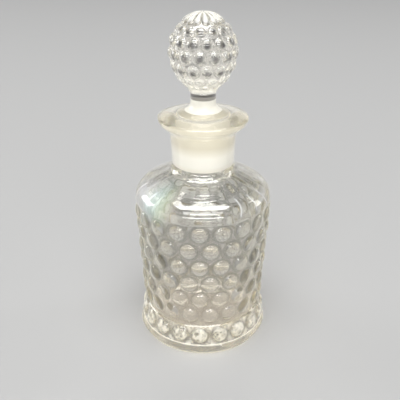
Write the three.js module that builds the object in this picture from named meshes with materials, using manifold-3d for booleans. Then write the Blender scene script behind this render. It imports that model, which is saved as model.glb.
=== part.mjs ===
// A pressed glass dresser bottle with a hobnail body and a ground glass stopper.
// Millimetres, +Z up, origin at the centre of the flat ring that the bottle stands on.

import * as THREE from 'three';
import { mergeVertices } from 'three/addons/utils/BufferGeometryUtils.js';
import Module from 'manifold-3d';

// Body wall: a gently widening cone that carries the rows of hobs
const wallBottomRadius = 27.9;
const wallFlare = 3.1;
const wallHeight = 55.7;

// Foot: a rounded rim, a bevel above it, and a short flare that carries the lowest ring of hobs
const footSpread = 3.6;
const footEdgeRound = 1.8;
const footRimHeight = 3.4;
const footBevelHeight = 2.0;
const footBevelInset = 1.2;
const footFlareHeight = 9.3;
const footStepInset = 0.6;
const restingRingWidth = 5.5;
const underBaseRise = 1.6;
const underBaseRiseHalfway = 1.3;

// Shoulder: it overhangs the hobs by a small ledge, turns over, and slopes up to the neck
const shoulderLedge = 0.8;
const shoulderBandHeight = 0.9;
const shoulderRound = 8.0;
const shoulderSlope = THREE.MathUtils.degToRad(29);
const neckFillet = 5.5;

// Neck and lip: two round corners, whose ends are in degrees, meet under the lip
const neckBottomRadius = 14.0;
const neckFlare = 1.1;
const neckHeight = 12.8;
const lipOverhang = 5.2;
const lipHeight = 8.9;
const lipFillet = 2.6;
const lipFilletEnd = 125;
const lipUnderRound = 3.2;
const lipUnderStart = -50;
const lipEdgeRound = 1.2;
const mouthBevel = 0.6;

// Inside: the glass thickness, and the tapered socket that is ground into the neck and a little
// way below it
const wallThickness = 3.5;
const baseThickness = 7.0;
const cavityFloorRound = 6.0;
const cavityShoulderRound = 6.0;
const neckThickness = 3.1;
const socketTaper = 0.046;
const socketReach = 2.3;

// Stopper: a ground shank that ends a little above the socket's end, a low plug top, a stem and
// a hobnail head
const socketClearance = 0.3;
const shankInset = 1.0;
const shankEndBevel = 0.8;
const plugRise = 1.0;
const plugDome = 1.0;
const plugEdgeRound = 0.5;
const stemFillet = 3.0;
const stemRadius = 5.7;
const stemHeight = 8.0;
const headFlareHeight = 1.8;
const headRadius = 14.1;
const headTopHeight = 15.3;
const headBottomHeight = 18.2;

// Hobs: low round domes in rows, each row turned half a step from its neighbours. Hobs of the
// head are a share of their pitch, and fade towards the axis by a power of their radius
const hobsPerRow = 19;
const hobRows = 6;
const hobRadius = 3.9;
const hobHeight = 1.5;
const lowestRowRise = 6.6;
const topRowDrop = 4.7;
const footHobRadius = 3.7;
const footHobHeight = 0.95;
const footHobRise = 5.1;
const firstHobAngle = THREE.MathUtils.degToRad(-3);
const headHobsPerRow = 14;
const headHobShare = 0.41;
const headHobHeight = 1.1;
const headHobFade = 3;
const headHobAngle = THREE.MathUtils.degToRad(-6);
const headRowAngles = [53, 72.5, 92, 111, 129].map(THREE.MathUtils.degToRad);
const petalAngle = THREE.MathUtils.degToRad(25);
const petalLength = 8.6;
const petalShare = 0.4;
const petalHeight = 0.45;

// Fineness of the facets
const outsideSegments = 38;
const insideSegments = 28;
const hobSides = 7;
const hobSteps = 2;
const hobSinkShare = 0.45;
const arcTolerance = 0.12;
const headSteps = 9;

// Radii and heights that follow from the sizes above
const wallTopRadius = wallBottomRadius + wallFlare;
const footRadius = wallBottomRadius + footSpread;
const shoulderRadius = wallTopRadius + shoulderLedge;
const neckTopRadius = neckBottomRadius + neckFlare;
const lipRadius = neckTopRadius + lipOverhang;
const throatRadius = neckBottomRadius - neckThickness;
const flareBottom = footRimHeight + footBevelHeight;
const wallBottom = flareBottom + footFlareHeight;
const wallTop = wallBottom + wallHeight;
const shoulderArcBase = wallTop + shoulderBandHeight;
const shoulderArcCentre = shoulderRadius - shoulderRound;
const arcEnd = new THREE.Vector2(
  shoulderArcCentre + shoulderRound * Math.sin(shoulderSlope),
  shoulderArcBase + shoulderRound * Math.cos(shoulderSlope),
);
const filletStartRadius = neckBottomRadius + neckFillet * (1 - Math.sin(shoulderSlope));
const filletStart = arcEnd.y + (arcEnd.x - filletStartRadius) * Math.tan(shoulderSlope);
const neckBottom = filletStart + neckFillet * Math.cos(shoulderSlope);
const neckTop = neckBottom + neckHeight;
const lipTop = neckTop + lipHeight;
const socketBottom = neckBottom - socketReach;
const shankBottom = socketBottom + shankInset;
const plugTop = lipTop + plugRise;
const stemBottom = plugTop + plugDome;
const headJoin = headBottomHeight * Math.sqrt(1 - (stemRadius / headRadius) ** 2);
const headCentre = stemBottom + stemHeight + headFlareHeight + headJoin;

const socketRadius = (z) => throatRadius + (z - socketBottom) * socketTaper;
const shankRadius = (z) => socketRadius(z) - socketClearance;

const wasm = await Module();
wasm.setup();

// A closed three.js geometry as a solid that can be joined and cut
function solid(geometry) {
  const bare = geometry.clone();
  bare.deleteAttribute('normal');
  bare.deleteAttribute('uv');
  const merged = mergeVertices(bare, 1e-4);
  const corners = [];
  const index = merged.index.array;
  for (let i = 0; i < index.length; i += 3) {
    const [a, b, c] = index.slice(i, i + 3);
    if (a !== b && b !== c && c !== a) corners.push(a, b, c);
  }
  return new wasm.Manifold(new wasm.Mesh({
    numProp: 3,
    vertProperties: new Float32Array(merged.attributes.position.array),
    triVerts: new Uint32Array(corners),
  }));
}

// A named mesh of a finished solid
function part(name, shape, look) {
  const { vertProperties, triVerts } = shape.getMesh();
  const geometry = new THREE.BufferGeometry();
  geometry.setAttribute('position', new THREE.BufferAttribute(vertProperties, 3));
  geometry.setIndex(new THREE.BufferAttribute(triVerts, 1));
  geometry.computeVertexNormals();
  const mesh = new THREE.Mesh(geometry, new THREE.MeshStandardMaterial(look));
  mesh.name = name;
  return mesh;
}

// A profile of radius and height, from the axis at the bottom to the axis at the top, turned about Z
function turned(path, segments) {
  return new THREE.LatheGeometry(path.getPoints(1), segments).rotateX(Math.PI / 2);
}

// Draws a round corner from one direction to another, in degrees, with no more chords than it needs
function arc(path, x, z, radius, from, to) {
  const start = THREE.MathUtils.degToRad(from);
  const sweep = THREE.MathUtils.degToRad(to - from);
  const steps = Math.ceil(Math.abs(sweep) / (2 * Math.acos(1 - arcTolerance / radius)));
  for (let i = 0; i <= steps; i += 1) {
    const angle = start + (sweep * i) / steps;
    path.lineTo(x + radius * Math.cos(angle), z + radius * Math.sin(angle));
  }
}

function outsideProfile() {
  const slope = THREE.MathUtils.radToDeg(shoulderSlope);
  const path = new THREE.Path();
  path.moveTo(0, underBaseRise);
  path.lineTo((footRadius - restingRingWidth) / 2, underBaseRiseHalfway);
  path.lineTo(footRadius - footEdgeRound - restingRingWidth, 0);
  arc(path, footRadius - footEdgeRound, footEdgeRound, footEdgeRound, -90, 0);
  path.lineTo(footRadius, footRimHeight);
  path.lineTo(footRadius - footBevelInset, flareBottom);
  path.lineTo(wallBottomRadius + footStepInset, wallBottom);
  path.lineTo(wallBottomRadius, wallBottom + footStepInset);
  path.lineTo(wallTopRadius, wallTop);
  path.lineTo(shoulderRadius, wallTop + shoulderBandHeight / 2);
  arc(path, shoulderArcCentre, shoulderArcBase, shoulderRound, 0, 90 - slope);
  arc(path, neckBottomRadius + neckFillet, neckBottom, neckFillet, 270 - slope, 180);
  path.lineTo(neckTopRadius, neckTop);
  arc(path, neckTopRadius + lipFillet, neckTop, lipFillet, 180, lipFilletEnd);
  arc(path, lipRadius - lipUnderRound, lipTop - lipEdgeRound, lipUnderRound, lipUnderStart, 0);
  arc(path, lipRadius - lipEdgeRound, lipTop - lipEdgeRound, lipEdgeRound, 0, 90);
  path.lineTo(0, lipTop);
  return path;
}

function insideProfile() {
  const slope = THREE.MathUtils.radToDeg(shoulderSlope);
  const top = wallTopRadius - wallThickness;
  const bottom = wallBottomRadius - wallThickness;
  const offset = new THREE.Vector2(Math.sin(shoulderSlope), Math.cos(shoulderSlope));
  // the sloping ceiling runs under the outer slope, one wall thickness below it
  const onCeiling = arcEnd.clone().addScaledVector(offset, -wallThickness);
  const centre = top - cavityShoulderRound;
  const drop = (cavityShoulderRound - (onCeiling.x - centre) * offset.x) / offset.y;
  const path = new THREE.Path();
  path.moveTo(0, baseThickness);
  path.lineTo(bottom - cavityFloorRound, baseThickness);
  arc(path, bottom - cavityFloorRound, baseThickness + cavityFloorRound, cavityFloorRound, -90, 0);
  path.lineTo(top, onCeiling.y - drop);
  arc(path, centre, onCeiling.y - drop, cavityShoulderRound, 0, 90 - slope);
  path.lineTo(throatRadius, onCeiling.y + (onCeiling.x - throatRadius) * Math.tan(shoulderSlope));
  path.lineTo(throatRadius, socketBottom);
  path.lineTo(socketRadius(lipTop - mouthBevel), lipTop - mouthBevel);
  path.lineTo(socketRadius(lipTop) + mouthBevel, lipTop + mouthBevel);
  path.lineTo(0, lipTop + mouthBevel);
  return path;
}

// The round foot of the head, below its widest level, has a longer half axis than its top
const headHalfHeight = (angle) => (angle < Math.PI / 2 ? headTopHeight : headBottomHeight);

function headSurface(angle) {
  const half = headHalfHeight(angle);
  const point = new THREE.Vector2(headRadius * Math.sin(angle), headCentre + half * Math.cos(angle));
  const normal = new THREE.Vector2(Math.sin(angle) / headRadius, Math.cos(angle) / half).normalize();
  return { point, normal };
}

function stopperProfile() {
  const plugRadius = shankRadius(plugTop);
  const path = new THREE.Path();
  path.moveTo(0, shankBottom);
  path.lineTo(shankRadius(shankBottom) - shankEndBevel, shankBottom);
  path.lineTo(shankRadius(shankBottom + shankEndBevel), shankBottom + shankEndBevel);
  path.lineTo(plugRadius, plugTop - plugEdgeRound);
  arc(path, plugRadius - plugEdgeRound, plugTop - plugEdgeRound, plugEdgeRound, 0, 90);
  path.lineTo(stemRadius + stemFillet, stemBottom);
  arc(path, stemRadius + stemFillet, stemBottom + stemFillet, stemFillet, 270, 180);
  path.lineTo(stemRadius, stemBottom + stemHeight);
  const join = Math.asin(stemRadius / headRadius);
  for (let i = 1; i <= headSteps; i += 1) {
    const angle = (Math.PI - join) * (1 - i / headSteps);
    const { point } = headSurface(angle);
    path.lineTo(i < headSteps ? point.x : 0, point.y);
  }
  return path;
}

// A low round cap that rises to its height over a circle of its radius on the XY plane. It goes on
// below the plane as the same sphere, so that it meets a curved wall all the way round
function dome(radius, height) {
  const sphere = (radius ** 2 + height ** 2) / (2 * height);
  const sweep = Math.acos((sphere - height * (1 + hobSinkShare)) / sphere);
  const points = [new THREE.Vector2(0, -height * hobSinkShare)];
  for (let i = 0; i <= hobSteps; i += 1) {
    const angle = sweep * (1 - i / hobSteps);
    const level = height - sphere * (1 - Math.cos(angle));
    points.push(new THREE.Vector2(sphere * Math.sin(angle), level));
  }
  return new THREE.LatheGeometry(points, hobSides).rotateX(Math.PI / 2);
}

// Places a dome on a turned surface: point and normal are in its profile, turn goes round the axis
function placed(geometry, point, normal, turn) {
  const out = new THREE.Vector3(normal.x * Math.sin(turn), -normal.x * Math.cos(turn), normal.y);
  const side = new THREE.Vector3(Math.cos(turn), Math.sin(turn), 0);
  const along = new THREE.Vector3().crossVectors(out, side);
  const matrix = new THREE.Matrix4().makeBasis(side, along, out);
  matrix.setPosition(point.x * Math.sin(turn), -point.x * Math.cos(turn), point.y);
  return geometry.clone().applyMatrix4(matrix);
}

function ring(shape, geometry, point, normal, count, firstTurn) {
  let joined = shape;
  for (let i = 0; i < count; i += 1) {
    const turn = firstTurn + (i / count) * 2 * Math.PI;
    joined = joined.add(solid(placed(geometry, point, normal, turn)));
  }
  return joined;
}

function straightNormal(from, to) {
  return new THREE.Vector2(to.y - from.y, from.x - to.x).normalize();
}

function addBodyHobs(shape) {
  const low = new THREE.Vector2(wallBottomRadius, wallBottom);
  const high = new THREE.Vector2(wallTopRadius, wallTop);
  const hob = dome(hobRadius, hobHeight);
  const halfStep = Math.PI / hobsPerRow;
  let joined = shape;
  const rowPitch = (wallHeight - lowestRowRise - topRowDrop) / (hobRows - 1);
  for (let row = 0; row < hobRows; row += 1) {
    const point = low.clone().lerp(high, (lowestRowRise + row * rowPitch) / wallHeight);
    const turn = firstHobAngle + (row % 2 === 0 ? halfStep : 0);
    joined = ring(joined, hob, point, straightNormal(low, high), hobsPerRow, turn);
  }
  return joined;
}

function addFootHobs(shape) {
  const low = new THREE.Vector2(footRadius - footBevelInset, flareBottom);
  const high = new THREE.Vector2(wallBottomRadius + footStepInset, wallBottom);
  const hob = dome(footHobRadius, footHobHeight);
  const point = low.clone().lerp(high, footHobRise / footFlareHeight);
  return ring(shape, hob, point, straightNormal(low, high), hobsPerRow, firstHobAngle);
}

function addHeadHobs(shape) {
  const halfStep = Math.PI / headHobsPerRow;
  let joined = shape;
  headRowAngles.forEach((angle, row) => {
    const { point, normal } = headSurface(angle);
    const radius = headHobShare * (2 * Math.PI * point.x) / headHobsPerRow;
    const height = headHobHeight * (point.x / headRadius) ** headHobFade;
    const hob = dome(radius, height);
    const turn = headHobAngle + (row % 2 === 0 ? 0 : halfStep);
    joined = ring(joined, hob, point, normal, headHobsPerRow, turn);
  });
  const { point, normal } = headSurface(petalAngle);
  const width = petalShare * (2 * Math.PI * point.x) / headHobsPerRow;
  const petal = dome(width, petalHeight).scale(1, petalLength / 2 / width, 1);
  return ring(joined, petal, point, normal, headHobsPerRow, headHobAngle + halfStep);
}

function makeBottle() {
  const outside = addBodyHobs(addFootHobs(solid(turned(outsideProfile(), outsideSegments))));
  const inside = solid(turned(insideProfile(), insideSegments));
  return outside.subtract(inside);
}

function makeStopper() {
  return addHeadHobs(solid(turned(stopperProfile(), insideSegments)));
}

const glass = { color: 0xe9ebe2, roughness: 0.04, metalness: 0, transparent: true, opacity: 0.4 };

const dresserBottle = new THREE.Group();
dresserBottle.add(part('bottle', makeBottle(), glass));
dresserBottle.add(part('stopper', makeStopper(), glass));

export default dresserBottle;
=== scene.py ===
import math

import bpy
import numpy as np
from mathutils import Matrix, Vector


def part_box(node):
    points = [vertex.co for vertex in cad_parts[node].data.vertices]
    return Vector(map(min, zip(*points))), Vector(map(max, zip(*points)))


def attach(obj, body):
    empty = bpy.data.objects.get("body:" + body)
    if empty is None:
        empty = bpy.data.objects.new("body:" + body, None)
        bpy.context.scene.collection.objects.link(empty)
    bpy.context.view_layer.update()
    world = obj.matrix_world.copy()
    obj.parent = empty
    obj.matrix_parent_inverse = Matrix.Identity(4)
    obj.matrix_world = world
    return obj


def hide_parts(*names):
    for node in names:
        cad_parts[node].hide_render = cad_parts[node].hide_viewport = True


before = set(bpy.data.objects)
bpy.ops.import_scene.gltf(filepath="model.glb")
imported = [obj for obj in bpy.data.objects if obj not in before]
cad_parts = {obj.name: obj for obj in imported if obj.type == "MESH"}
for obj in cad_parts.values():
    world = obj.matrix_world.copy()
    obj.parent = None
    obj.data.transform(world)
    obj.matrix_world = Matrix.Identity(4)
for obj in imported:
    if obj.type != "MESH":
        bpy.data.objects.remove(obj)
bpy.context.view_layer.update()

# Sizes are in millimetres, heights from the ring that the bottle stands on, and angles in radians
MM = 0.001

# A length or a turn that counts as none
TINY = 1e-6

# Body wall: a gently widening cone that carries the rows of hobs
WALL_BOTTOM_RADIUS = 27.9
WALL_TOP_RADIUS = WALL_BOTTOM_RADIUS + 3.1
WALL_BOTTOM = 14.7
WALL_HEIGHT = 55.7
WALL_TOP = WALL_BOTTOM + WALL_HEIGHT

# Foot: the resting ring, the rim, the bevel and the flare with its ring of hobs
FOOT_RADIUS = WALL_BOTTOM_RADIUS + 3.6
FOOT_EDGE_ROUND = 1.8
RESTING_RING_WIDTH = 5.5
RESTING_RING_ROUND = 1.5
UNDER_BASE_RISE = 1.6
RIM_HEIGHT = 3.4
FLARE_BOTTOM = 5.4
BEVEL_INSET = 1.2
BEVEL_ROUND = 0.9
STEP_INSET = 0.6
MOULD_ROUND = 0.175

# Shoulder
SHOULDER_RADIUS = WALL_TOP_RADIUS + 0.8
SHOULDER_BAND = 0.9
SHOULDER_ROUND = 8.0
SHOULDER_SLOPE = math.radians(29)
SHOULDER_START = WALL_TOP + SHOULDER_BAND
SHOULDER_CORNER = SHOULDER_START + SHOULDER_ROUND * math.tan((math.pi / 2 - SHOULDER_SLOPE) / 2)
LEDGE_RISE = 0.45
NECK_FILLET = 5.5

# Neck and lip
NECK_RADIUS = 14.0
NECK_TOP_RADIUS = NECK_RADIUS + 1.1
LIP_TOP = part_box("bottle")[1].z / MM
LIP_RADIUS = NECK_TOP_RADIUS + 5.2
LIP_EDGE_HEIGHT = 2.8
LIP_EDGE_ROUND = 1.2
LIP_UNDER_ROUND = 3.2
LIP_UNDER_SLOPE = math.radians(43)
LIP_FILLET = 2.6
MOUTH_BEVEL = 0.6

# Inside of the bottle
WALL_THICKNESS = 3.5
BASE_THICKNESS = 7.0
CAVITY_ROUND = 6.0
THROAT_RADIUS = NECK_RADIUS - 3.1
THROAT_ROUND = 1.5
SOCKET_TAPER = 0.046
SOCKET_BOTTOM = LIP_TOP - 24.0

# Stopper
SHANK_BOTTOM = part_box("stopper")[0].z / MM
SOCKET_CLEARANCE = 0.3
SHANK_END_BEVEL = 0.8
PLUG_TOP = LIP_TOP + 1.0
PLUG_DOME = 1.0
PLUG_EDGE_ROUND = 0.5
STEM_BOTTOM = PLUG_TOP + PLUG_DOME
STEM_FOOT_RISE = 0.5
STEM_RADIUS = 5.7
STEM_FILLET = 4.5
STEM_TOP = STEM_BOTTOM + 8.0
STEM_BAND = 2.6
HEAD_FLARE = 1.8
STEM_JOIN_ROUND = 0.12
HEAD_RADIUS = 13.9
HEAD_TOP_HEIGHT = 15.3
HEAD_BOTTOM_HEIGHT = 18.2
HEAD_JOIN = HEAD_BOTTOM_HEIGHT * math.sqrt(1 - (STEM_RADIUS / HEAD_RADIUS) ** 2)
HEAD_CENTRE = STEM_TOP + HEAD_FLARE + HEAD_JOIN

# Hobs of the wall and the foot
HOBS_PER_ROW = 19
HOB_ROWS = 6
HOB_RADIUS = 3.9
HOB_HEIGHT = 1.5
HOB_FULLNESS = 0.62
FIRST_HOB_ANGLE = math.radians(-3)
LOWEST_ROW = WALL_BOTTOM + 6.6
HIGHEST_ROW = WALL_TOP - 4.7
FOOT_HOB_RADIUS = 3.9
FOOT_HOB_HEIGHT = 1.4
FOOT_HOB_RISE = 5.1

# Hobs of the head by their angle from its top, and the petals that meet there
HEAD_HOBS_PER_ROW = 14
HEAD_ROWS = [math.radians(angle) for angle in (53, 72.5, 92, 111, 129, 143)]
HEAD_HOB_ANGLE = math.radians(-6)
HEAD_HOB_SHARE = 0.46
HEAD_HOB_HEIGHT = 1.4
HEAD_HOB_FADE = 3
PETAL_END = math.radians(41)
PETAL_ROUND = math.radians(12)
PETAL_HEIGHT = 0.7

# Creases round the hobs, which carry painted shade and sit a little high so that more of it falls below each
# hob; and the middle of each hob of the head, painted dark to stand for the dark image the solid head shows
# there
CREASE_INSIDE = 0.5
CREASE_OUTSIDE = 1.6
CREASE_SHADE_RISE = 0.35
CLEAR_OF_HOBS = 10.0 * CREASE_OUTSIDE
CORE_SHARE = 0.78
CORE_BLUR = 0.5
CORE_DROP = 0.3
LAST_CORE_ROW = math.radians(120)

# Fine rings that the mould left round the foot of the neck
RING_RADII = [19.8, 21.2, 22.5, 23.7, 24.8]
RING_WIDTH = 0.36
RING_HEIGHT = 0.03
RING_WOBBLES = 5
RING_WOBBLE = 0.35
RING_SHIFT = 2
RING_MARGIN = 1.0

# Low upright folds at uneven steps round the shoulder
FOLD_TURNS = [math.radians(turn) for turn in (-78, -53, -44, 32, 48, 64, 95, 117, 150, 171, 204, 226, 249)]
FOLD_WIDTH = 0.8
FOLD_HEIGHT = 0.06
FOLD_SWAY = 0.022
FOLD_SWAY_RATE = 0.55
FOLD_TOP_RADIUS = 23.5
FOLD_TOP_FADE = 3.0
FOLD_BOTTOM_FADE = 2.0

# Slow waves inside the hollow: how many go round, how far they stand out, how much they lean
INSIDE_WAVES = [(7, 0.15, 0.05), (12, 0.09, -0.08), (19, 0.05, 0.11)]
WAVE_FADE = 8.0

# Fineness of the meshes
BOTTLE_COLUMNS = HOBS_PER_ROW * 16
STOPPER_COLUMNS = HEAD_HOBS_PER_ROW * 28
FINE_STEP = 0.35
WALL_STEP = 0.54
COARSE_STEP = 2.5
ARC_STEP = math.radians(9)
SMALL_ROUND = 1.0


def placed(name, data):
    """A new object of the scene."""
    made = bpy.data.objects.new(name, data)
    bpy.context.scene.collection.objects.link(made)
    return made


def unit(vector):
    return vector / np.linalg.norm(vector)


def rounded(corners, step):
    """Points of an outline of (radius, height, round) corners, each corner turned with its own round."""
    corners = [(np.array(corner[:2], float), corner[2]) for corner in corners]
    line = [corners[0][0]]
    for (before, _), (corner, size), (after, _) in zip(corners, corners[1:], corners[2:]):
        back, ahead = unit(before - corner), unit(after - corner)
        turn = math.pi - math.acos(np.clip(back @ ahead, -1, 1))
        if size == 0 or turn < TINY:
            line.append(corner)
            continue
        reach = size * math.tan(turn / 2)
        start = corner + back * reach
        centre = corner + unit(back + ahead) * size / math.cos(turn / 2)
        spoke = start - centre
        sign = np.sign(spoke[0] * ahead[1] - spoke[1] * ahead[0])
        steps = max(2, math.ceil(turn / ARC_STEP * min(1, size / SMALL_ROUND)))
        for i in range(steps + 1):
            angle = sign * turn * i / steps
            cos, sin = math.cos(angle), math.sin(angle)
            line.append(centre + np.array([spoke[0] * cos - spoke[1] * sin, spoke[0] * sin + spoke[1] * cos]))
    line.append(corners[-1][0])
    return divided(line, step)


def divided(line, step):
    """The same outline with no stretch longer than step, which may depend on the stretch's middle."""
    points = [line[0]]
    for start, end in zip(line, line[1:]):
        length = np.linalg.norm(end - start)
        if length < TINY:
            continue
        count = max(1, math.ceil(length / step((start + end) / 2)))
        points += [start + (end - start) * (i + 1) / count for i in range(count)]
    return np.array(points)


def outside_step(point):
    """Fine along the hobs and the rings, coarse elsewhere."""
    radius, height = point
    if FLARE_BOTTOM < height < WALL_TOP:
        return WALL_STEP
    if height > SHOULDER_START and RING_RADII[0] - RING_MARGIN < radius < RING_RADII[-1] + RING_MARGIN:
        return FINE_STEP
    return COARSE_STEP


def coarse_step(point):
    return COARSE_STEP


def socket_radius(height):
    return THROAT_RADIUS + (height - SOCKET_BOTTOM) * SOCKET_TAPER


def outside_corners():
    """From the middle of the base, under the foot and up the outside to the mouth."""
    neck = SHOULDER_CORNER + (SHOULDER_RADIUS - NECK_RADIUS) * math.tan(SHOULDER_SLOPE)
    under_edge = LIP_TOP - LIP_EDGE_HEIGHT
    under_start = under_edge - (LIP_RADIUS - NECK_TOP_RADIUS) * math.tan(LIP_UNDER_SLOPE)
    return [
        (0, UNDER_BASE_RISE, 0),
        (FOOT_RADIUS / 2, UNDER_BASE_RISE, RESTING_RING_WIDTH),
        (FOOT_RADIUS - FOOT_EDGE_ROUND - RESTING_RING_WIDTH, 0, RESTING_RING_ROUND),
        (FOOT_RADIUS, 0, FOOT_EDGE_ROUND),
        (FOOT_RADIUS, RIM_HEIGHT, BEVEL_ROUND),
        (FOOT_RADIUS - BEVEL_INSET, FLARE_BOTTOM, BEVEL_ROUND),
        (WALL_BOTTOM_RADIUS + STEP_INSET, WALL_BOTTOM, MOULD_ROUND),
        (WALL_BOTTOM_RADIUS, WALL_BOTTOM + STEP_INSET, MOULD_ROUND),
        (WALL_TOP_RADIUS, WALL_TOP, MOULD_ROUND),
        (SHOULDER_RADIUS, WALL_TOP + LEDGE_RISE, MOULD_ROUND),
        (SHOULDER_RADIUS, SHOULDER_CORNER, SHOULDER_ROUND),
        (NECK_RADIUS, neck, NECK_FILLET),
        (NECK_TOP_RADIUS, under_start, LIP_FILLET),
        (LIP_RADIUS, under_edge, LIP_UNDER_ROUND),
        (LIP_RADIUS, LIP_TOP, LIP_EDGE_ROUND),
        (socket_radius(LIP_TOP) + MOUTH_BEVEL / 2, LIP_TOP, MOULD_ROUND),
    ]


def inside_corners():
    """From the mouth, down the socket and the throat, and round the hollow to the middle of its floor."""
    top = WALL_TOP_RADIUS - WALL_THICKNESS
    bottom = WALL_BOTTOM_RADIUS - WALL_THICKNESS
    slope = math.tan(SHOULDER_SLOPE)
    ceiling = SHOULDER_CORNER + (SHOULDER_RADIUS - top) * slope - WALL_THICKNESS / math.cos(SHOULDER_SLOPE)
    return [
        (socket_radius(LIP_TOP), LIP_TOP - MOUTH_BEVEL / 2, MOULD_ROUND),
        (THROAT_RADIUS, SOCKET_BOTTOM, 0),
        (THROAT_RADIUS, ceiling + (top - THROAT_RADIUS) * slope, THROAT_ROUND),
        (top, ceiling, CAVITY_ROUND),
        (bottom, BASE_THICKNESS, CAVITY_ROUND),
        (0, BASE_THICKNESS, 0),
    ]


def shank_corners():
    """From the middle of the shank's end, up the shank and over the plug to the top of the stem."""
    end = socket_radius(SHANK_BOTTOM) - SOCKET_CLEARANCE
    plug = socket_radius(PLUG_TOP) - SOCKET_CLEARANCE
    return [
        (0, SHANK_BOTTOM, 0),
        (end - SHANK_END_BEVEL, SHANK_BOTTOM, MOULD_ROUND),
        (end, SHANK_BOTTOM + SHANK_END_BEVEL, MOULD_ROUND),
        (plug, PLUG_TOP, PLUG_EDGE_ROUND),
        (STEM_RADIUS, STEM_BOTTOM + STEM_FOOT_RISE, STEM_FILLET),
        (STEM_RADIUS, STEM_TOP, 0),
    ]


def head_half_height(angle):
    return HEAD_TOP_HEIGHT if angle < math.pi / 2 else HEAD_BOTTOM_HEIGHT


def head_point(angle):
    """A point of the head's smooth surface, by the angle from its top."""
    return np.array([HEAD_RADIUS * math.sin(angle), HEAD_CENTRE + head_half_height(angle) * math.cos(angle)])


def normals_of(points):
    """Outward directions of an outline that runs with the solid on its left."""
    along = np.gradient(points, axis=0)
    out = np.stack([along[:, 1], -along[:, 0]], axis=1)
    return out / np.linalg.norm(out, axis=1, keepdims=True)


def turns_of(columns):
    return 2 * math.pi * np.arange(columns) / columns


def ring_distance(turns, count, first_turn, radius):
    """Distance round the axis from the nearest of a ring's evenly spaced turns."""
    pitch = 2 * math.pi / count
    return np.abs((turns - first_turn + pitch / 2) % pitch - pitch / 2) * radius


class Relief:
    """How far the glass stands out from its plain outline, for each outline point and turn."""

    def __init__(self, rows, columns):
        self.height = np.zeros((rows, columns))
        self.past_edge = np.full((rows, columns), CLEAR_OF_HOBS)
        self.core = np.zeros((rows, columns))
        self.streak = np.zeros((rows, columns))

    def add_hobs(self, up, across, radius, height, where=True, crease_rise=0):
        """Domes by the way up and the way across from the nearest hob's middle, which arrays give."""
        dome = height * np.clip(1 - np.hypot(up, across) ** 2 / radius ** 2, 0, None) ** HOB_FULLNESS
        self.height = np.maximum(self.height, dome * where)
        past_edge = np.hypot(up - crease_rise, across) - radius
        self.past_edge = np.where(where, np.minimum(self.past_edge, past_edge), self.past_edge)

    def add_cores(self, up, across, radius):
        """The middle of each hob, which is painted dark to stand for the dark image that the solid head shows
        there.
        """
        share = np.hypot(up + CORE_DROP, across) / radius
        self.core = np.maximum(self.core, np.clip((CORE_SHARE - share) / CORE_BLUR, 0, 1))

    def creases(self):
        """1 along the edge of each hob, falling off quickly inside it and slowly outside."""
        width = np.where(self.past_edge < 0, CREASE_INSIDE, CREASE_OUTSIDE)
        return np.exp(-(self.past_edge / width) ** 2)


def outside_relief(points, turns):
    relief = Relief(len(points), len(turns))
    add_wall_hobs(relief, points, turns)
    add_foot_hobs(relief, points, turns)
    relief.streak = shoulder_folds(points, turns)
    relief.height += shoulder_rings(points, turns) + FOLD_HEIGHT * relief.streak
    return relief


def add_wall_hobs(relief, points, turns):
    half_step = math.pi / HOBS_PER_ROW
    widening = (WALL_TOP_RADIUS - WALL_BOTTOM_RADIUS) / WALL_HEIGHT
    on_wall = (points[:, 1:] > WALL_BOTTOM + STEP_INSET) & (points[:, 1:] < WALL_TOP)
    for index, height in enumerate(np.linspace(LOWEST_ROW, HIGHEST_ROW, HOB_ROWS)):
        radius = WALL_BOTTOM_RADIUS + (height - WALL_BOTTOM) * widening
        first = FIRST_HOB_ANGLE + (half_step if index % 2 == 0 else 0)
        across = ring_distance(turns, HOBS_PER_ROW, first, radius)
        up = (points[:, 1:] - height) * math.hypot(1, widening)
        relief.add_hobs(up, across, HOB_RADIUS, HOB_HEIGHT, on_wall, CREASE_SHADE_RISE)


def add_foot_hobs(relief, points, turns):
    lower_glow = np.array([FOOT_RADIUS - BEVEL_INSET, FLARE_BOTTOM])
    high = np.array([WALL_BOTTOM_RADIUS + STEP_INSET, WALL_BOTTOM])
    rise = high[1] - lower_glow[1]
    middle = lower_glow + (high - lower_glow) * FOOT_HOB_RISE / rise
    up = (points[:, 1:] - middle[1]) * np.linalg.norm(high - lower_glow) / rise
    across = ring_distance(turns, HOBS_PER_ROW, FIRST_HOB_ANGLE, middle[0])
    on_flare = (points[:, 1:] > lower_glow[1]) & (points[:, 1:] < high[1])
    relief.add_hobs(up, across, FOOT_HOB_RADIUS, FOOT_HOB_HEIGHT, on_flare)


def shoulder_rings(points, turns):
    """Fine rings round the foot of the neck, a little out of true."""
    radius, height = points[:, :1], points[:, 1:]
    rings = np.zeros((len(points), len(turns)))
    for ring in RING_RADII:
        off = radius - ring + RING_WOBBLE * np.sin(RING_WOBBLES * turns + RING_SHIFT * ring)
        rings += np.exp(-(off / RING_WIDTH) ** 2)
    return RING_HEIGHT * rings * (height > SHOULDER_START)


def shoulder_folds(points, turns):
    """Upright wavy folds round the shoulder, at uneven steps, 1 on their crests."""
    radius, height = points[:, :1], points[:, 1:]
    folds = np.zeros((len(points), len(turns)))
    for index, fold in enumerate(FOLD_TURNS):
        turn = fold + FOLD_SWAY * np.sin(FOLD_SWAY_RATE * height + index)
        folds += np.exp(-(ring_distance(turns, 1, turn, radius) / FOLD_WIDTH) ** 2)
    top_fade = np.clip((radius - FOLD_TOP_RADIUS) / FOLD_TOP_FADE, 0, 1)
    bottom_fade = np.clip((height - SHOULDER_START) / FOLD_BOTTOM_FADE, 0, 1)
    return folds * (top_fade * bottom_fade)


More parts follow.
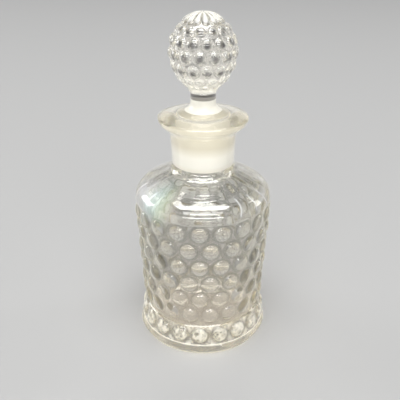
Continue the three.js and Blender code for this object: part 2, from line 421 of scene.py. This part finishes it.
def inside_relief(points, turns):
    """Slow waves round the hollow, and none in the socket or in the middle of the floor."""
    relief = Relief(len(points), len(turns))
    radius, height = points[:, :1], points[:, 1:]
    waves = sum(size * np.sin(count * turns + lean * height) for count, size, lean in INSIDE_WAVES)
    top_fade = np.clip((SOCKET_BOTTOM - height) / WAVE_FADE, 0, 1)
    middle_fade = np.clip(radius / THROAT_RADIUS, 0, 1) ** 2
    relief.height = waves * (top_fade * middle_fade)
    return relief


def head_relief(angles, turns):
    """Relief of the head by the angle from its top and the turn round its axis."""
    relief = Relief(len(angles), len(turns))
    angles = angles[:, None]
    pitch = 2 * math.pi / HEAD_HOBS_PER_ROW
    for index, row in enumerate(HEAD_ROWS):
        radius = HEAD_RADIUS * math.sin(row)
        hob_radius = HEAD_HOB_SHARE * pitch * radius
        first = HEAD_HOB_ANGLE + (0 if index % 2 == 0 else pitch / 2)
        across = ring_distance(turns, HEAD_HOBS_PER_ROW, first, radius)
        up = (row - angles) * math.hypot(HEAD_RADIUS * math.cos(row), head_half_height(row) * math.sin(row))
        height = HEAD_HOB_HEIGHT * (radius / HEAD_RADIUS) ** HEAD_HOB_FADE
        relief.add_hobs(up, across, hob_radius, height)
        if row < LAST_CORE_ROW:
            relief.add_cores(up, across, hob_radius)
    add_petals(relief, angles, turns, pitch)
    return relief


def add_petals(relief, angles, turns, pitch):
    """Petals from the top of the head to the first row of hobs, each as wide as its share of the turn."""
    across = ring_distance(turns, HEAD_HOBS_PER_ROW, HEAD_HOB_ANGLE + pitch / 2, 2 / pitch)
    past = np.clip((angles - (PETAL_END - PETAL_ROUND)) / PETAL_ROUND, 0, None)
    fade = np.minimum(1, np.sin(angles) / math.sin(PETAL_ROUND))
    relief.add_hobs(past, across, 1, PETAL_HEIGHT * fade)


def closed_faces(rings, columns):
    """Faces between rings of corners, and fans to the two end corners that come after them."""
    ring = np.arange(columns)
    after = (ring + 1) % columns
    pairs = list(zip(ring.tolist(), after.tolist()))
    first, top = rings * columns, (rings - 1) * columns
    faces = [(first, b, a) for a, b in pairs]
    for row in range(rings - 1):
        lower_glow, high = row * columns, (row + 1) * columns
        faces += [(lower_glow + a, lower_glow + b, high + b, high + a) for a, b in pairs]
    return faces + [(first + 1, top + a, top + b) for a, b in pairs]


def turned_piece(name, points, reliefs):
    """A closed piece from an outline that starts and ends on the axis, with relief along its normals."""
    relief = np.vstack([part.height for part in reliefs])
    marks = {
        "crease": np.vstack([part.creases() for part in reliefs]),
        "core": np.vstack([part.core for part in reliefs]),
        "streak": np.vstack([part.streak for part in reliefs]),
    }
    columns = relief.shape[1]
    turns = turns_of(columns)
    out = normals_of(points)
    radius = points[1:-1, :1] + relief[1:-1] * out[1:-1, :1]
    height = points[1:-1, 1:] + relief[1:-1] * out[1:-1, 1:]
    rings = np.stack([radius * np.sin(turns), -radius * np.cos(turns), height], axis=2)
    ends = np.array([[0, 0, points[0, 1]], [0, 0, points[-1, 1]]])
    corners = np.vstack([rings.reshape(-1, 3), ends]) * MM
    mesh = bpy.data.meshes.new(name)
    mesh.from_pydata(corners.tolist(), [], closed_faces(len(rings), columns))
    mesh.polygons.foreach_set("use_smooth", [True] * len(mesh.polygons))
    for mark, values in marks.items():
        made = mesh.attributes.new(mark, "FLOAT", "POINT")
        made.data.foreach_set("value", np.append(values[1:-1].ravel(), [0, 0]))
    mesh.update()
    return placed(name, mesh)


def make_bottle():
    outside = rounded(outside_corners(), outside_step)
    inside = rounded(inside_corners(), coarse_step)
    turns = turns_of(BOTTLE_COLUMNS)
    reliefs = [outside_relief(outside, turns), inside_relief(inside, turns)]
    piece = turned_piece("bottle_glass", np.vstack([outside, inside]), reliefs)
    piece.data.materials.append(bottle_finish())
    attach(piece, "bottle")
    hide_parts("bottle")


def make_stopper():
    shank = rounded(shank_corners(), coarse_step)
    join = math.pi - math.asin(STEM_RADIUS / HEAD_RADIUS) - STEM_JOIN_ROUND
    steps = math.ceil(join * HEAD_RADIUS / FINE_STEP)
    angles = join * (1 - np.arange(steps + 1) / steps)
    head = np.array([head_point(angle) for angle in angles])
    turns = turns_of(STOPPER_COLUMNS)
    reliefs = [Relief(len(shank), STOPPER_COLUMNS), head_relief(angles, turns)]
    piece = turned_piece("stopper_glass", np.vstack([shank, head]), reliefs)
    piece.data.materials.append(stopper_finish())
    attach(piece, "stopper")
    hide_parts("stopper")


class Value:
    """A node's output, which arithmetic turns into further nodes."""

    def __init__(self, finish, socket):
        self.finish = finish
        self.socket = socket

    def __add__(self, other):
        return self.finish.maths("ADD", self, other)

    def __sub__(self, other):
        return self.finish.maths("SUBTRACT", self, other)

    def __rsub__(self, other):
        return self.finish.maths("SUBTRACT", other, self)

    def __mul__(self, other):
        return self.finish.maths("MULTIPLY", self, other)

    def __pow__(self, other):
        return self.finish.maths("POWER", self, other)

    def __lt__(self, other):
        return self.finish.maths("LESS_THAN", self, other)

    def __gt__(self, other):
        return self.finish.maths("GREATER_THAN", self, other)

    __radd__ = __add__
    __rmul__ = __mul__

    def clipped(self):
        """The value kept between 0 and 1."""
        return self.finish.maths("ADD", self, 0.0, clamp=True)


class Finish:
    """A material or world whose nodes are made one by one."""

    def __init__(self, owner):
        self.owner = owner
        owner.use_nodes = True
        self.tree = owner.node_tree
        self.tree.nodes.clear()

    def node(self, kind, settings=None, inputs=None, output=0):
        made = self.tree.nodes.new(kind)
        for name, value in (settings or {}).items():
            if name == "stops":
                self.set_stops(made.color_ramp, value)
            else:
                setattr(made, name, value)
        for name, value in (inputs or {}).items():
            if isinstance(value, Value):
                self.tree.links.new(value.socket, made.inputs[name])
            else:
                made.inputs[name].default_value = value
        return Value(self, made.outputs[output])

    def set_stops(self, ramp, stops):
        while len(ramp.elements) < len(stops):
            ramp.elements.new(1)
        for element, (place, colour) in zip(ramp.elements, stops):
            element.position = place
            element.color = colour

    def maths(self, operation, *values, clamp=False):
        settings = {"operation": operation, "use_clamp": clamp}
        return self.node("ShaderNodeMath", settings, dict(enumerate(values)))

    def place(self):
        return self.node("ShaderNodeTexCoord", output="Object")

    def part(self, vector, axis):
        return self.node("ShaderNodeSeparateXYZ", inputs={"Vector": vector}, output=axis)

    def mark(self, name):
        """A value that the mesh carries at its corners."""
        return self.node("ShaderNodeAttribute", {"attribute_name": name}, output="Fac")

    def outline(self):
        """0 where the glass faces the eye, 1 where it turns away."""
        return self.node("ShaderNodeLayerWeight", output="Facing")

    def noise(self, place, scale, detail=2.0):
        return self.node("ShaderNodeTexNoise", inputs={"Vector": place, "Scale": scale, "Detail": detail})

    def bump(self, height, strength, depth):
        inputs = {"Strength": strength, "Distance": depth * MM, "Height": height}
        return self.node("ShaderNodeBump", inputs=inputs)

    def ramp(self, factor, stops):
        return self.node("ShaderNodeValToRGB", {"stops": stops}, {"Fac": factor})

    def mixed(self, factor, first, second):
        """Two colours mixed: the numbers are the node's two colour inputs and its colour output."""
        return self.node("ShaderNodeMix", {"data_type": "RGBA"}, {"Factor": factor, 6: first, 7: second}, 2)

    def blended(self, factor, first, second):
        return self.node("ShaderNodeMixShader", inputs={0: factor, 1: first, 2: second})

    def principled(self, inputs):
        return self.node("ShaderNodeBsdfPrincipled", inputs=inputs)

    def surface(self, shader, volume=None):
        end = self.tree.nodes.new("ShaderNodeOutputMaterial")
        self.tree.links.new(shader.socket, end.inputs["Surface"])
        if volume:
            self.tree.links.new(volume.socket, end.inputs["Volume"])
        return self.owner


# Clear glass: its polish, the smears on it, its slow ripple and its soft sheen, with scales per metre
GLASS_IOR = 1.5
COAT_IOR = 1.75
CLEAR_ROUGHNESS = 0.01
SMEAR_ROUGHNESS = 0.04
SMEAR_SCALE = 220.0
CREASE_ROUGHNESS = 0.08
RIPPLE_SCALE = 90.0
RIPPLE_DETAIL = 1.0
RIPPLE_STRENGTH = 0.25
RIPPLE_DEPTH = 0.4
SHEEN_WEIGHT = 0.35
SHEEN_ROUGHNESS = 0.35
SHEEN_TINT = (1.0, 0.96, 0.85, 1)

# Tint of the clear glass, then painted light and shade: a warmer lower wall with lighter creases, as though
# lit from the thick base, and painted shade in the creases round the hobs, darkest on the upper wall, in the
# stem's band and in the middles of the head's hobs
CLEAR_TINT = (0.985, 0.985, 0.97, 1)
LOWER_GLOW_TINT = (0.985, 0.95, 0.925, 1)
LOWER_GLOW_TOP = 42.0
LOWER_GLOW_FADE = 16.0
HIGH_CREASE_SHADE = (0.20, 0.20, 0.195, 1)
LOW_CREASE_SHADE = (0.56, 0.52, 0.47, 1)
FOOT_CREASE_SHADE = (0.42, 0.40, 0.36, 1)
FOOT_CREASE_POWER = 3
HEAD_CREASE_SHADE = (0.80, 0.78, 0.77, 1)
PETAL_CREASE_SHADE = (0.42, 0.41, 0.38, 1)
CORE_SHADE = (0.10, 0.095, 0.10, 1)
BAND_SHADE = (0.10, 0.095, 0.095, 1)

# Ground glass of the socket, by the share of the way up it: whitest in a band of painted light low down,
# darker at its very bottom and creamier towards the lip; and of the shank
GROUND_LIGHT_STOPS = [
    (0.0, (0.88, 0.85, 0.78, 1)),
    (0.12, (1.0, 0.995, 0.965, 1)),
    (0.3, (1.0, 0.99, 0.95, 1)),
    (0.5, (0.76, 0.72, 0.61, 1)),
    (1.0, (0.83, 0.79, 0.68, 1)),
]
SOCKET_MARGIN = 0.2
SHANK_TINTS = (0.66, 0.65, 0.62, 1), (0.71, 0.70, 0.665, 1)
SHANK_MOTTLE_SCALE = 120.0
GROUND_SHARE = 0.15
GROUND_ROUGHNESS = 0.55
GRAIN_ROUGHNESS = 0.15
GRAIN_SCALE = 2500.0
GRAIN_STRENGTH = 0.3
GRAIN_DEPTH = 0.1

# Tint of the glass in depth, with densities per metre
ABSORPTION_TINT = (0.965, 0.93, 0.77, 1)
BOTTLE_DENSITY = 22.0
STOPPER_DENSITY = 9.0

# Lamp light that passes through the glass, and the share of it that the hobnail wall keeps back
SHADOW_TINT = (0.93, 0.92, 0.90, 1)
WALL_SHADE = 0.75

# Painted light on the foot: a pale glow over the flare, painted glints on the hobs and painted highlight
# lines along the edges of the rim; its tint serves the painted light on the lip too
FOOT_LIGHT_TINT = (1.0, 0.96, 0.84, 1)
FOOT_GLINT_SHARE = 0.62
FLARE_GLOW = 0.15
SPARKLE_SCALE = 420.0
SPARKLE_START = 0.38
SPARKLE_GAIN = 5.0
RIM_GLOW = 0.2
EDGE_HIGHLIGHT_SHARE = 0.65
EDGE_HIGHLIGHT_WIDTH = 0.35

# Painted light: a pale glow on the top of the lip, a pale outline where the wall turns away, highlight rims
# round the wall's hobs, and glints on the crests of the shoulder's folds
LIP_GLOW = 0.15
LIP_DEPTH = 6.0
WALL_LIGHT_TINT = (0.74, 0.71, 0.53, 1)
WALL_OUTLINE_LIGHT = 0.5
WALL_OUTLINE_POWER = 3
WALL_HOB_EDGE_HIGHLIGHT = 0.12
WALL_EDGE_POWER = 10
CREST_GLINT_TINT = (0.97, 0.98, 1.0, 1)
CREST_GLINT_SHARE = 0.45
CREST_GLINT_POWER = 2

# Painted light on the stopper: a glow on the lower stem and the bottom of the head, light on the petals,
# highlight rims round the head's hobs and a pale outline where the head turns away
HEAD_LIGHT_TINT = (1.0, 0.99, 0.93, 1)
STEM_GLOW = 0.6
HEAD_HOB_EDGE_HIGHLIGHT = 0.13
PETAL_LIGHT = 0.72
HEAD_BOTTOM_GLOW_SHARE = 0.2
HEAD_BOTTOM_GLOW_LIMIT = HEAD_CENTRE - 9.0
HEAD_BOTTOM_FADE = 4.0
HEAD_OUTLINE_LIGHT = 0.45
HEAD_OUTLINE_POWER = 4

# How dull the painted layers are: the painted light, and the painted glints and colours on the shoulder
PAINTED_LIGHT_ROUGHNESS = 0.4
PAINTED_GLINT_ROUGHNESS = 0.25

# Painted iridescent reflection on the left of the shoulder
IRIDESCENCE_TURN = math.radians(-56)
IRIDESCENCE_SPREAD = math.radians(34)
IRIDESCENCE_HEIGHT = 74.0
IRIDESCENCE_REACH = 8.0
IRIDESCENCE_SHARE = 0.28
IRIDESCENCE_STOPS = [
    (0.0, (0.78, 0.80, 1.0, 1)),
    (0.35, (0.94, 0.97, 1.0, 1)),
    (0.58, (0.68, 0.90, 0.90, 1)),
    (0.76, (0.76, 0.92, 0.70, 1)),
    (0.95, (1.0, 0.88, 0.82, 1)),
]


def clear_glass(finish, place, tint, crease):
    """Clear glass with a faint waviness, dulled in the creases round the hobs."""
    smears = finish.noise(place, SMEAR_SCALE)
    ripple = finish.noise(place, RIPPLE_SCALE, RIPPLE_DETAIL)
    return finish.principled({
        "Base Color": tint,
        "Roughness": CLEAR_ROUGHNESS + SMEAR_ROUGHNESS * smears + CREASE_ROUGHNESS * crease,
        "IOR": GLASS_IOR,
        "Transmission Weight": 1.0,
        "Coat Weight": 1.0,
        "Coat IOR": COAT_IOR,
        "Sheen Weight": SHEEN_WEIGHT,
        "Sheen Roughness": SHEEN_ROUGHNESS,
        "Sheen Tint": SHEEN_TINT,
        "Normal": finish.bump(ripple, RIPPLE_STRENGTH, RIPPLE_DEPTH),
    })


def ground_glass(finish, place, colour):
    """Glass ground fine and white."""
    grain = finish.noise(place, GRAIN_SCALE)
    return finish.principled({
        "Base Color": colour,
        "Roughness": GROUND_ROUGHNESS + GRAIN_ROUGHNESS * grain,
        "IOR": GLASS_IOR,
        "Transmission Weight": GROUND_SHARE,
        "Normal": finish.bump(grain, GRAIN_STRENGTH, GRAIN_DEPTH),
    })


def painted_layer(finish, colour, roughness):
    """A dull pale layer over the glass, where light, glints and coloured reflections are painted."""
    return finish.principled({"Base Color": colour, "Roughness": roughness})


def finished(finish, shader, lets_light, density):
    """The whole material: tinted in depth, and lamps reach through it where lets_light is 1."""
    shadow = finish.node("ShaderNodeLightPath", output="Is Shadow Ray")
    passing = finish.node("ShaderNodeBsdfTransparent", inputs={"Color": SHADOW_TINT})
    depth = {"Color": ABSORPTION_TINT, "Density": density}
    volume = finish.node("ShaderNodeVolumeAbsorption", inputs=depth)
    return finish.surface(finish.blended(shadow * lets_light, shader, passing), volume)


def near(value, middle, reach):
    """1 at the middle, falling to 0 at a reach from it, both in millimetres."""
    off = (value - middle * MM) * (1 / (reach * MM))
    return (1 - off * off).clipped()


def painted_shoulder_iridescence(finish, x, y, z):
    """The painted iridescence's strength, and its colours from left to right."""
    off_turn = (finish.maths("ARCTAN2", x, 0 - y) - IRIDESCENCE_TURN) * (1 / IRIDESCENCE_SPREAD)
    strength = (1 - off_turn * off_turn).clipped() * near(z, IRIDESCENCE_HEIGHT, IRIDESCENCE_REACH)
    return strength, finish.ramp(off_turn * 0.5 + 0.5, IRIDESCENCE_STOPS)


def bottle_finish():
    finish = Finish(bpy.data.materials.new("bottle_pressed_glass"))
    place = finish.place()
    x, y, z = [finish.part(place, axis) for axis in "XYZ"]
    radius = (x * x + y * y) ** 0.5
    crease = finish.mark("crease")
    out_from_wall = radius > WALL_BOTTOM_RADIUS * MM
    on_flare = (z > FLARE_BOTTOM * MM) * (z < WALL_BOTTOM * MM) * out_from_wall
    on_rim = (z < FLARE_BOTTOM * MM) * (radius > (FOOT_RADIUS - BEVEL_INSET - FOOT_EDGE_ROUND) * MM)
    # Where painted highlight lines run along the top of the bevel and the bottom edge of the rim
    on_edges = near(z, FLARE_BOTTOM, EDGE_HIGHLIGHT_WIDTH) * out_from_wall + near(z, 0, FOOT_EDGE_ROUND) * on_rim
    on_wall = (z > WALL_BOTTOM * MM) * (z < WALL_TOP * MM)
    on_lip = z > (LIP_TOP - LIP_DEPTH) * MM
    # Painted light: the lower wall is made warmer, and its creases lighter, as though lit from the thick base
    lower_glow = ((LOWER_GLOW_TOP * MM - z) * (1 / (LOWER_GLOW_FADE * MM))).clipped()

    tint = finish.mixed(lower_glow, CLEAR_TINT, LOWER_GLOW_TINT)
    # Painted shade in the creases round the hobs, much darker on the upper wall than on the lower, and deeper
    # in the narrow gaps between the foot's hobs
    tint = finish.mixed(crease, tint, finish.mixed(lower_glow, HIGH_CREASE_SHADE, LOW_CREASE_SHADE))
    tint = finish.mixed(on_flare * crease ** FOOT_CREASE_POWER, tint, FOOT_CREASE_SHADE)
    glass = clear_glass(finish, place, tint, crease)

    # Painted light on the foot: a glow over the flare, painted glints on its hobs, a glow on the rim and
    # painted highlight lines along its edges
    sparkle = ((finish.noise(place, SPARKLE_SCALE) - SPARKLE_START) * SPARKLE_GAIN).clipped()
    # Painted light on the top of the lip, and on the wall a pale outline where it turns away and highlight
    # rims at the edges of its hobs
    outline = finish.outline() ** WALL_OUTLINE_POWER * WALL_OUTLINE_LIGHT
    hob_edge_highlight = crease ** WALL_EDGE_POWER * WALL_HOB_EDGE_HIGHLIGHT
    painted_light = on_flare * (FLARE_GLOW + FOOT_GLINT_SHARE * (1 - crease) * sparkle)
    painted_light = painted_light + on_rim * RIM_GLOW + on_edges * EDGE_HIGHLIGHT_SHARE
    painted_light = painted_light + on_lip * LIP_GLOW + on_wall * (outline + hob_edge_highlight)
    painted_light_tint = finish.mixed(on_wall, FOOT_LIGHT_TINT, WALL_LIGHT_TINT)
    glass = finish.blended(painted_light.clipped(), glass, painted_layer(finish, painted_light_tint, PAINTED_LIGHT_ROUGHNESS))
    # Painted glints on the crests of the shoulder's folds
    streak = finish.mark("streak") ** CREST_GLINT_POWER * CREST_GLINT_SHARE
    glass = finish.blended(streak, glass, painted_layer(finish, CREST_GLINT_TINT, PAINTED_GLINT_ROUGHNESS))
    # Painted iridescent reflection on the left of the shoulder
    iridescence, rainbow = painted_shoulder_iridescence(finish, x, y, z)
    glass = finish.blended(iridescence * IRIDESCENCE_SHARE, glass, painted_layer(finish, rainbow, PAINTED_GLINT_ROUGHNESS))

    socket = (THROAT_RADIUS - SOCKET_BOTTOM * SOCKET_TAPER + SOCKET_MARGIN) * MM + z * SOCKET_TAPER
    on_ground = (radius < socket) * (z > SOCKET_BOTTOM * MM)
    up_socket = (z - SOCKET_BOTTOM * MM) * (1 / ((LIP_TOP - SOCKET_BOTTOM) * MM))
    # Ground glass whitest in a band of painted light low in the socket
    white = finish.ramp(up_socket, GROUND_LIGHT_STOPS)
    glass = finish.blended(on_ground, glass, ground_glass(finish, place, white))
    return finished(finish, glass, 1 - WALL_SHADE * on_wall, BOTTLE_DENSITY)


def stopper_finish():
    finish = Finish(bpy.data.materials.new("stopper_pressed_glass"))
    place = finish.place()
    z = finish.part(place, "Z")
    crease = finish.mark("crease")
    band_bottom = (STEM_TOP - STEM_BAND) * MM
    on_ground = z < (PLUG_TOP - PLUG_EDGE_ROUND) * MM
    on_stem = (z > STEM_BOTTOM * MM) * (z < band_bottom)
    on_band = (z > band_bottom) * (z < STEM_TOP * MM)
    on_head = z > STEM_TOP * MM
    on_petals = z > (HEAD_CENTRE + HEAD_TOP_HEIGHT * math.cos(PETAL_END)) * MM
    # Where the painted glow at the bottom of the head lies
    on_bottom = ((HEAD_BOTTOM_GLOW_LIMIT - z * (1 / MM)) * (1 / HEAD_BOTTOM_FADE)).clipped() * on_head

    # Painted shade in the creases round the head's hobs, darker between the petals
    tint = finish.mixed(crease, CLEAR_TINT, finish.mixed(on_petals, HEAD_CREASE_SHADE, PETAL_CREASE_SHADE))
    # Painted shade: the middles of the head's hobs are darkened
    tint = finish.mixed(finish.mark("core"), tint, CORE_SHADE)
    # Painted shade on the band at the top of the stem
    tint = finish.mixed(on_band, tint, BAND_SHADE)
    glass = clear_glass(finish, place, tint, crease)

    # Painted light on the stopper: glows, highlight rims and a pale outline
    outline = finish.outline() ** HEAD_OUTLINE_POWER * HEAD_OUTLINE_LIGHT
    hob_edge_highlight = (1 - on_petals) * crease * HEAD_HOB_EDGE_HIGHLIGHT
    painted_light = on_stem * STEM_GLOW + on_bottom * HEAD_BOTTOM_GLOW_SHARE
    painted_light = painted_light + on_petals * PETAL_LIGHT * (1 - crease) + on_head * (hob_edge_highlight + outline)
    glass = finish.blended(painted_light.clipped(), glass, painted_layer(finish, HEAD_LIGHT_TINT, PAINTED_LIGHT_ROUGHNESS))
    white = finish.mixed(finish.noise(place, SHANK_MOTTLE_SCALE), *SHANK_TINTS)
    glass = finish.blended(on_ground, glass, ground_glass(finish, place, white))
    return finished(finish, glass, 1.0, STOPPER_DENSITY)


# Floor, in metres
FLOOR_COLOUR = (0.50, 0.50, 0.495, 1)
FLOOR_ROUGHNESS = 0.85
FLOOR_RADIUS = 1.6
FLOOR_SIDES = 96
FLOOR_GAP = 0.0003

# Surroundings: pale below and near the horizon, dark above it, by the upward share of the direction
WORLD_PALE = (0.60, 0.60, 0.595, 1)
WORLD_DARK = (0.05, 0.05, 0.055, 1)
FADE_START = 0.2
FADE_LENGTH = 0.22

# Lamps: name, place and size in metres, power in watts
LAMPS = [
    ("overhead", (0.0, -0.38, 2.7), (2.7, 1.0), 50.0),
    ("left", (-2.4, 0.9, 0.75), (1.3, 1.0), 15.0),
    ("right", (2.4, 0.7, 1.1), (0.4, 1.8), 6.0),
    ("front", (0.0, -2.4, 2.9), (3.8, 1.3), 58.0),
    ("rear", (0.0, 2.4, 3.8), (2.4, 1.0), 26.0),
    ("strip", (0.0, -3.0, 1.2), (4.0, 0.3), 28.0),
]
LAMP_AIM = (0, 0, 0.08)

# Camera: place and near limit in metres, lens and sensor in millimetres, dip below level in degrees
CAMERA_PLACE = (-0.0014, -0.2598, 0.198)
CAMERA_DIP = 26.6
CAMERA_LENS = 54.9
CAMERA_SENSOR = 36.0
CAMERA_CLIP = 0.01

# How often light may turn inside the glass
GLASS_BOUNCES = 32


def make_floor():
    mesh = bpy.data.meshes.new("floor")
    turns = [2 * math.pi * i / FLOOR_SIDES for i in range(FLOOR_SIDES)]
    ring = [(FLOOR_RADIUS * math.cos(turn), FLOOR_RADIUS * math.sin(turn), -FLOOR_GAP) for turn in turns]
    mesh.from_pydata(ring, [], [range(FLOOR_SIDES)])
    floor = placed("floor", mesh)
    finish = Finish(bpy.data.materials.new("pale_floor"))
    shader = finish.principled({"Base Color": FLOOR_COLOUR, "Roughness": FLOOR_ROUGHNESS})
    mesh.materials.append(finish.surface(shader))


def make_lamp(name, place, size, power):
    """A soft rectangular lamp that faces the bottle."""
    light = bpy.data.lights.new(name, "AREA")
    light.shape = "RECTANGLE"
    light.size, light.size_y = size
    light.energy = power
    lamp = placed(name, light)
    lamp.location = place
    lamp.rotation_euler = (Vector(LAMP_AIM) - Vector(place)).to_track_quat("-Z", "Y").to_euler()


def make_world():
    world = bpy.data.worlds.new("studio")
    bpy.context.scene.world = world
    finish = Finish(world)
    up = finish.part(finish.node("ShaderNodeTexCoord", output="Generated"), "Z")
    colour = finish.mixed(((up - FADE_START) * (1 / FADE_LENGTH)).clipped(), WORLD_PALE, WORLD_DARK)
    shader = finish.node("ShaderNodeBackground", inputs={"Color": colour, "Strength": 1.0})
    end = finish.tree.nodes.new("ShaderNodeOutputWorld")
    finish.tree.links.new(shader.socket, end.inputs["Surface"])


def make_camera():
    camera = bpy.data.cameras.new("camera")
    camera.sensor_width = CAMERA_SENSOR
    camera.lens = CAMERA_LENS
    camera.clip_start = CAMERA_CLIP
    seat = placed("camera", camera)
    seat.location = CAMERA_PLACE
    seat.rotation_euler = (math.radians(90 - CAMERA_DIP), 0, 0)
    bpy.context.scene.camera = seat


make_bottle()
make_stopper()
make_floor()
make_world()
for lamp in LAMPS:
    make_lamp(*lamp)
make_camera()

scene = bpy.context.scene
scene.view_settings.view_transform = "Standard"
scene.cycles.max_bounces = GLASS_BOUNCES
scene.cycles.transmission_bounces = GLASS_BOUNCES
scene.cycles.transparent_max_bounces = GLASS_BOUNCES
scene.cycles.glossy_bounces = GLASS_BOUNCES
